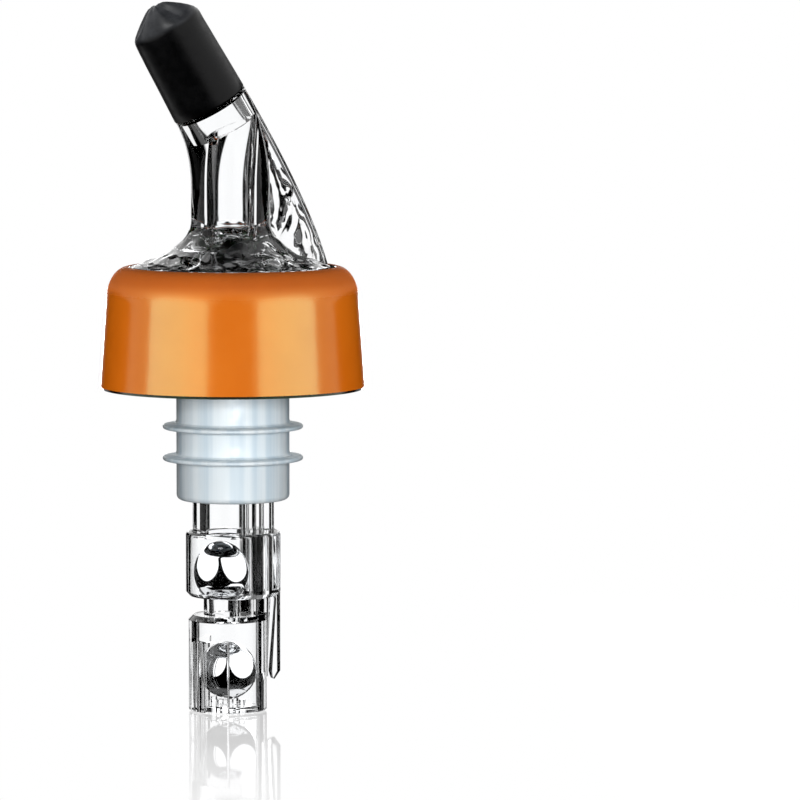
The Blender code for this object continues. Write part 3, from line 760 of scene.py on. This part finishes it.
def make_ball_cage(material):
    """Clear neck, side column and slotted cage, with a few upright flutes on its left."""
    edge, above, below = CAGE_EDGE, CAGE_TOP_Z + PAST, CAGE_BOTTOM_Z - PAST
    profile = ([(0, CAGE_TOP_Z), (CAGE_R, CAGE_TOP_Z)]
               + arc((CAGE_R - edge, CAGE_BOTTOM_Z + edge), edge, 0, -90, 5)
               + [(0, CAGE_BOTTOM_Z)])
    cage = new_piece("ball_cage_moulding", turned(profile, FINE, CAGE_X))
    outer_r, chamfer_z = CAGE_R + 2, CAGE_SHOULDER_Z - CAGE_CHAMFER
    window = turned([(outer_r, above), (outer_r, chamfer_z), (CAGE_R, chamfer_z),
                     (CAGE_R - CAGE_CHAMFER, CAGE_SHOULDER_Z), (NECK_R, CAGE_SHOULDER_Z),
                     (NECK_R, above)], FINE, CAGE_X)
    cut = bmesh.ops.bisect_plane(window, geom=window.verts[:] + window.edges[:] + window.faces[:],
                                 plane_co=(COLUMN_X, 0, 0), plane_no=(1, 0, 0),
                                 clear_outer=True)
    rim = [item for item in cut["geom_cut"] if isinstance(item, bmesh.types.BMEdge)]
    bmesh.ops.contextual_create(window, geom=rim)
    steps = [
        ("DIFFERENCE", window),
        ("DIFFERENCE", rod(CAGE_X, CAGE_BORE_R, below, CAGE_CEILING_Z)),
        ("DIFFERENCE", rod(FLOW_X, NECK_BORE_R, CAGE_CEILING_Z - PAST, above)),
        ("DIFFERENCE", block((CAGE_X + SLOT_LOW_X, -CAGE_R - PAST, below),
                             (CAGE_X + SLOT_HIGH_X, CAGE_R + PAST, SLOT_TOP_Z))),
    ]
    reach = CAGE_R + FLUTE_OUT
    for angle in CAGE_FLUTES:
        turn = math.radians(angle) + CAMERA_AZIMUTH
        flute = rod(0, FLUTE_R, below, FLUTE_TOP_Z, 24)
        bmesh.ops.translate(flute, verts=flute.verts,
                            vec=(CAGE_X + reach * math.sin(turn), -reach * math.cos(turn), 0))
        steps.append(("DIFFERENCE", flute))
    combine(cage, steps)
    return finish_piece(cage, "ball_cage", "pourer", material)


def make_cage_floor(material):
    """Clear retaining disc with a drain and small posts."""
    low, high = floor_low.z, floor_high.z
    disc = new_piece("cage_floor_disc", rod(CAGE_X, FLOOR_R, low, low + FLOOR_THICKNESS))
    steps = [("DIFFERENCE", rod(CAGE_X, FLOOR_DRAIN_R, low - PAST, low + 2, 40))]
    for index in range(FLOOR_POSTS):
        angle = math.tau * (index + 0.5) / FLOOR_POSTS
        post = rod(0, FLOOR_POST_R, low + FLOOR_THICKNESS / 2, high, 20)
        bmesh.ops.translate(post, verts=post.verts,
                            vec=(CAGE_X + FLOOR_POST_CIRCLE * math.cos(angle),
                                 FLOOR_POST_CIRCLE * math.sin(angle), 0))
        steps.append(("UNION", post))
    combine(disc, steps)
    return finish_piece(disc, "cage_floor", "pourer", material)


def make_ball(name, body, material):
    """One polished ball, subdivided from a cube so that it has no poles."""
    shape = bmesh.new()
    bmesh.ops.create_cube(shape, size=2.0)
    bmesh.ops.subdivide_edges(shape, edges=shape.edges, cuts=23, use_grid_fill=True)
    centre = Vector(BALLS[name])
    for vert in shape.verts:
        vert.co = centre + vert.co.normalized() * BALL_R
    ball = new_piece(name + "_polished", shape, 60)
    return finish_piece(ball, name, body, material)


# ---------------------------------------------------------------- studio
def make_world():
    """White to the camera; soft boxes to mirrored rays; white panels behind clear pieces.

    What a mirrored ray sees is laid out on a mirror ball: by the ball's normal that
    reflects it to the camera, as (right, up) with the ball's edge at length 1. Diffuse
    surfaces see only a faint even light here, as make_lights has their lamps.
    """
    world = bpy.data.worlds.new("studio")
    bpy.context.scene.world = world
    world.use_nodes = True
    world.cycles.sampling_method = "NONE"
    tree = world.node_tree
    tree.nodes.clear()
    direction = tree.nodes.new("ShaderNodeTexCoord").outputs["Generated"]
    parts = tree.nodes.new("ShaderNodeSeparateXYZ")
    tree.links.new(direction, parts.inputs["Vector"])
    paths = tree.nodes.new("ShaderNodeLightPath")
    mirrored = calculate(tree, "MINIMUM", paths.outputs["Glossy Depth"], 1.0)
    passed_clear = calculate(tree, "MINIMUM", paths.outputs["Transmission Depth"], 1.0)
    from_camera = vector_dot(tree, direction, -TOWARDS_CAMERA)

    half = tree.nodes.new("ShaderNodeVectorMath")
    half.operation = "ADD"
    half.inputs[1].default_value = TOWARDS_CAMERA
    tree.links.new(direction, half.inputs[0])
    normal = tree.nodes.new("ShaderNodeVectorMath")
    normal.operation = "NORMALIZE"
    tree.links.new(half.outputs["Vector"], normal.inputs[0])
    right = vector_dot(tree, normal.outputs["Vector"], CAMERA_RIGHT)
    up = vector_dot(tree, normal.outputs["Vector"], Vector((0, 0, 1)))

    def product(first, *others):
        """The product of several outputs."""
        for other in others:
            first = calculate(tree, "MULTIPLY", first, other)
        return first

    def inside_ellipse(centre, radii, tilt=0, edge=0.04):
        """1 inside a tilted ellipse on the mirror ball and 0 outside."""
        cos, sin = math.cos(math.radians(tilt)), math.sin(math.radians(tilt))
        across = calculate(tree, "SUBTRACT", right, centre[0])
        along = calculate(tree, "SUBTRACT", up, centre[1])
        first = calculate(tree, "MULTIPLY_ADD", across, cos / radii[0],
                          calculate(tree, "MULTIPLY", along, sin / radii[0]))
        second = calculate(tree, "MULTIPLY_ADD", along, cos / radii[1],
                           calculate(tree, "MULTIPLY", across, -sin / radii[1]))
        squares = calculate(tree, "MULTIPLY_ADD", first, first, product(second, second))
        return ramp(tree, squares, 1, 0, 1 - edge, 1 + edge)

    # two soft boxes, and a thin crescent along the lower edge of the mirror ball
    soft_boxes = calculate(tree, "ADD", *[
        inside_ellipse((side * 0.455, 0.34), (0.40, 0.56), side * 8) for side in (-1, 1)])
    crescent = calculate(tree, "SUBTRACT", inside_ellipse((0, 0), (0.91, 0.91)),
                         inside_ellipse((0, 0.76), (1.4, 1.4), edge=0.03))
    crescent = product(calculate(tree, "MAXIMUM", crescent, 0.0),
                       ramp(tree, up, 1, 0, -0.35, -0.3))
    box_light = calculate(tree, "MULTIPLY_ADD", soft_boxes, 1.5, crescent)
    # both are dimmed to a tenth for light that went through one or two clear surfaces
    trapped = calculate(tree, "COMPARE", paths.outputs["Transmission Depth"], 1.5, 0.9)
    box_strength = product(mirrored, calculate(tree, "MULTIPLY_ADD", trapped, -0.9, 1.0))

    # a narrow backdrop opposite the camera; full to light through clear pieces and to what
    # runs within about 15 degrees of the camera's line, a quarter to the rest
    sideways = calculate(tree, "ABSOLUTE", vector_dot(tree, direction, CAMERA_RIGHT))
    narrow = ramp(tree, sideways, 1, 0, math.sin(math.radians(19)), math.sin(math.radians(23)))
    behind = ramp(tree, from_camera, 0, 1, 0.1, 0.2)
    level = product(ramp(tree, parts.outputs["Z"], 0, 1, -0.42, -0.34),
                    ramp(tree, parts.outputs["Z"], 1, 0, 0.34, 0.42))
    straight = ramp(tree, from_camera, 0, 1, math.cos(math.radians(17)),
                    math.cos(math.radians(13)))
    full = calculate(tree, "MAXIMUM", passed_clear, straight)
    backdrop = product(narrow, behind, level,
                       calculate(tree, "MULTIPLY_ADD", full, 0.75, 0.25))

    # upright panels every 45 degrees where the backdrop is not, only for light that went
    # through clear pieces and was never mirrored
    azimuth = calculate(tree, "ARCTAN2", parts.outputs["X"], parts.outputs["Y"])
    wave = calculate(tree, "COSINE", calculate(tree, "MULTIPLY", azimuth, 8.0))
    elsewhere = ramp(tree, from_camera, 1, 0, 0.31, 0.37)
    unmirrored = calculate(tree, "SUBTRACT", 1.0, mirrored)
    round_about = product(ramp(tree, wave, 0, 1, -0.1, 0.3), elsewhere, level, unmirrored,
                          passed_clear)

    total = calculate(tree, "MULTIPLY_ADD", box_light, box_strength, backdrop)
    total = calculate(tree, "ADD", total, round_about)
    ambient = ramp(tree, parts.outputs["Z"], 0.05, 0.12, -0.6, 0.6)

    def background(strength):
        """A white background of a strength, given as an output or a number."""
        shader = tree.nodes.new("ShaderNodeBackground")
        shader.inputs["Color"].default_value = (1, 1, 1, 1)
        if isinstance(strength, float):
            shader.inputs["Strength"].default_value = strength
        else:
            tree.links.new(strength, shader.inputs["Strength"])
        return shader.outputs["Background"]

    def choose(factor, first, second):
        """The first background where the factor is 0, the second where it is 1."""
        mix = tree.nodes.new("ShaderNodeMixShader")
        tree.links.new(factor, mix.inputs["Fac"])
        tree.links.new(first, mix.inputs[1])
        tree.links.new(second, mix.inputs[2])
        return mix.outputs["Shader"]

    lit = choose(paths.outputs["Is Diffuse Ray"], background(total), background(ambient))
    seen = choose(paths.outputs["Is Camera Ray"], lit, background(1.0))
    output = tree.nodes.new("ShaderNodeOutputWorld")
    tree.links.new(seen, output.inputs["Surface"])


def make_lamp(name, only, azimuth, elevation, power, size, shine=False, wash=True):
    """A soft lamp, at angles in degrees from the camera's direction, that lights one piece.

    With shine it shows in glossy reflections; with wash it lights the diffuse colour.
    """
    distance = 0.8           # metres from the frame's origin
    lamp = bpy.data.lights.new(name, "AREA")
    lamp.energy = power
    lamp.size = size
    light = bpy.data.objects.new(name, lamp)
    turn = Matrix.Rotation(math.radians(azimuth), 3, "Z")
    flat = turn @ TOWARDS_CAMERA * math.cos(math.radians(elevation))
    light.location = (flat + Vector((0, 0, math.sin(math.radians(elevation))))) * distance
    light.rotation_euler = (-light.location).to_track_quat("-Z", "Y").to_euler()
    light.visible_camera = False
    light.visible_transmission = False
    light.visible_glossy = shine
    light.visible_diffuse = wash
    collection = bpy.data.collections.new(name + "_receivers")
    collection.objects.link(only)
    light.light_linking.receiver_collection = collection
    bpy.context.scene.collection.objects.link(light)


def make_lights(collar, cap, cork):
    """Soft lamps for the opaque pieces; the clear and steel ones see only the world."""
    for side in (-1, 1):
        make_lamp("collar_side", collar, 58 * side, -4, power=2.9, size=0.5)
        make_lamp("collar_shine", collar, 50.5 * side, -5, power=17.0, size=0.87,
                  shine=True, wash=False)
    make_lamp("collar_front", collar, 0, -4, power=3.0, size=0.5)
    make_lamp("cork_front", cork, 4, 4, power=7.0, size=0.25, shine=True)
    make_lamp("cap_top", cap, -35, 60, power=3.0, size=0.12, shine=True)
    make_lamp("collar_back", collar, 180, 0, power=7.0, size=0.3, shine=True)
    make_lamp("cork_back", cork, 180, 4, power=8.0, size=0.25)


def make_floor():
    """Pale floor under the cage, with a faint reflection that shows only near the object
    and at a glancing angle."""
    half_side, gap_below = 15, 0.2      # in metres, and in mm
    shape = bmesh.new()
    bmesh.ops.create_grid(shape, x_segments=1, y_segments=1, size=half_side)
    mesh = bpy.data.meshes.new("floor")
    shape.to_mesh(mesh)
    shape.free()
    floor = bpy.data.objects.new("floor", mesh)
    floor.location.z = (CAGE_BOTTOM_Z - gap_below) * MM
    bpy.context.scene.collection.objects.link(floor)
    made = bpy.data.materials.new("pale_floor")
    made.use_nodes = True
    tree = made.node_tree
    tree.nodes.clear()
    glow = tree.nodes.new("ShaderNodeEmission")
    gloss = tree.nodes.new("ShaderNodeBsdfGlossy")
    gloss.inputs["Roughness"].default_value = 0.03
    gloss.inputs["Color"].default_value = (1, 1, 1, 1)
    place = tree.nodes.new("ShaderNodeTexCoord")
    away = tree.nodes.new("ShaderNodeVectorMath")
    away.operation = "LENGTH"
    tree.links.new(place.outputs["Object"], away.inputs[0])
    glancing = tree.nodes.new("ShaderNodeLayerWeight")
    glancing.inputs["Blend"].default_value = 0.5
    strongest, gone_at = 0.52, 0.17     # share of the reflection, and metres from the middle
    fade = calculate(tree, "MULTIPLY",
                     ramp(tree, away.outputs["Value"], strongest, 0.0, 0.0, gone_at),
                     ramp(tree, glancing.outputs["Facing"], 0, 1, 0.74, 0.9))
    mix = tree.nodes.new("ShaderNodeMixShader")
    tree.links.new(fade, mix.inputs["Fac"])
    tree.links.new(glow.outputs["Emission"], mix.inputs[1])
    tree.links.new(gloss.outputs["BSDF"], mix.inputs[2])
    output = tree.nodes.new("ShaderNodeOutputMaterial")
    tree.links.new(mix.outputs["Shader"], output.inputs["Surface"])
    mesh.materials.append(made)
    floor.visible_diffuse = False
    floor.visible_glossy = False
    floor.visible_transmission = False
    floor.visible_shadow = False


def make_camera():
    """Long lens a little above the object, with the object left of the middle; in metres."""
    sensor_mm = 36.0
    distance = 0.885
    view_width = 0.1311      # metres across the view at the object
    camera_z = 0.0664
    aim_right, aim_z = 0.0275, -0.0110
    data = bpy.data.cameras.new("camera")
    data.sensor_width = sensor_mm
    data.lens = sensor_mm * distance / view_width
    data.clip_end = 100
    camera = bpy.data.objects.new("camera", data)
    camera.location = TOWARDS_CAMERA * distance + Vector((0, 0, camera_z))
    target = CAMERA_RIGHT * aim_right + Vector((0, 0, aim_z))
    camera.rotation_euler = (target - camera.location).to_track_quat("-Z", "Y").to_euler()
    bpy.context.scene.collection.objects.link(camera)
    bpy.context.scene.camera = camera


def main():
    clear = clear_plastic()
    make_spout(clear)
    collar = make_collar(orange_plastic())
    cap = make_dust_cap(black_rubber())
    cork = make_cork(milky_plastic())
    make_flow_tube(clear)
    make_breather_tube(clear)
    make_ball_chamber(clear)
    make_ball_cage(clear)
    make_cage_floor(clear)
    polished = steel()
    for name, body in (("shutoff_ball", "shutoff"), ("upper_ball", "upper"),
                       ("lower_ball", "lower")):
        make_ball(name, body, polished)
    make_world()
    make_lights(collar, cap, cork)
    make_floor()
    make_camera()
    bpy.context.scene.view_settings.view_transform = "Standard"


main()
